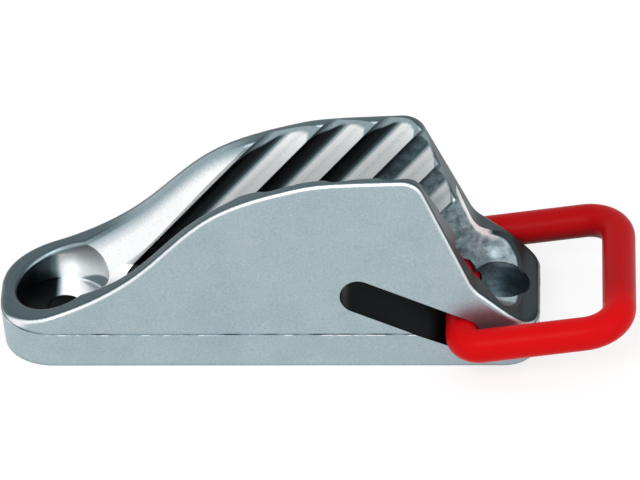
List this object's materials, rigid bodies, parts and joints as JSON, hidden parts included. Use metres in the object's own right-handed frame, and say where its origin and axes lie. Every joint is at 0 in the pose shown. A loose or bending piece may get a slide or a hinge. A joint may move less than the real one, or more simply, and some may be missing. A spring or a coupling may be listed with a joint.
{
  "type": "jam cleat",
  "caption": "Cast V-jaw jam cleat with slanting ridges, recessed screw holes and a red loop that slides and swings in a slanting slot.",
  "frame": {"origin": "mounting face, midway between the two screw holes", "axes": "+X along the cleat from the load end to the tail end and its loop, +Z out of the mounting face"},
  "size_m": [0.0966, 0.0332, 0.0332],
  "materials": {
    "cast_metal": "satin cast",
    "red_plastic": "gloss",
    "pin_steel": "plain"
  },
  "bodies": {
    "body": {"cleat_body": "cast_metal"},
    "pin": {"loop_pin": "pin_steel"},
    "loop": {"release_loop": "red_plastic"}
  },
  "joints": [
    {"name": "loop_slide", "type": "slide", "parent": "body", "child": "pin", "axis": [-0.9145, 0, 0.4045], "range_m": [0, 0.017]},
    {"name": "loop_swing", "type": "hinge", "parent": "pin", "child": "loop", "pos_m": [0.02755, 0, 0.00605], "axis": [0, -1, 0], "range_deg": [-10, 54]}
  ]
}
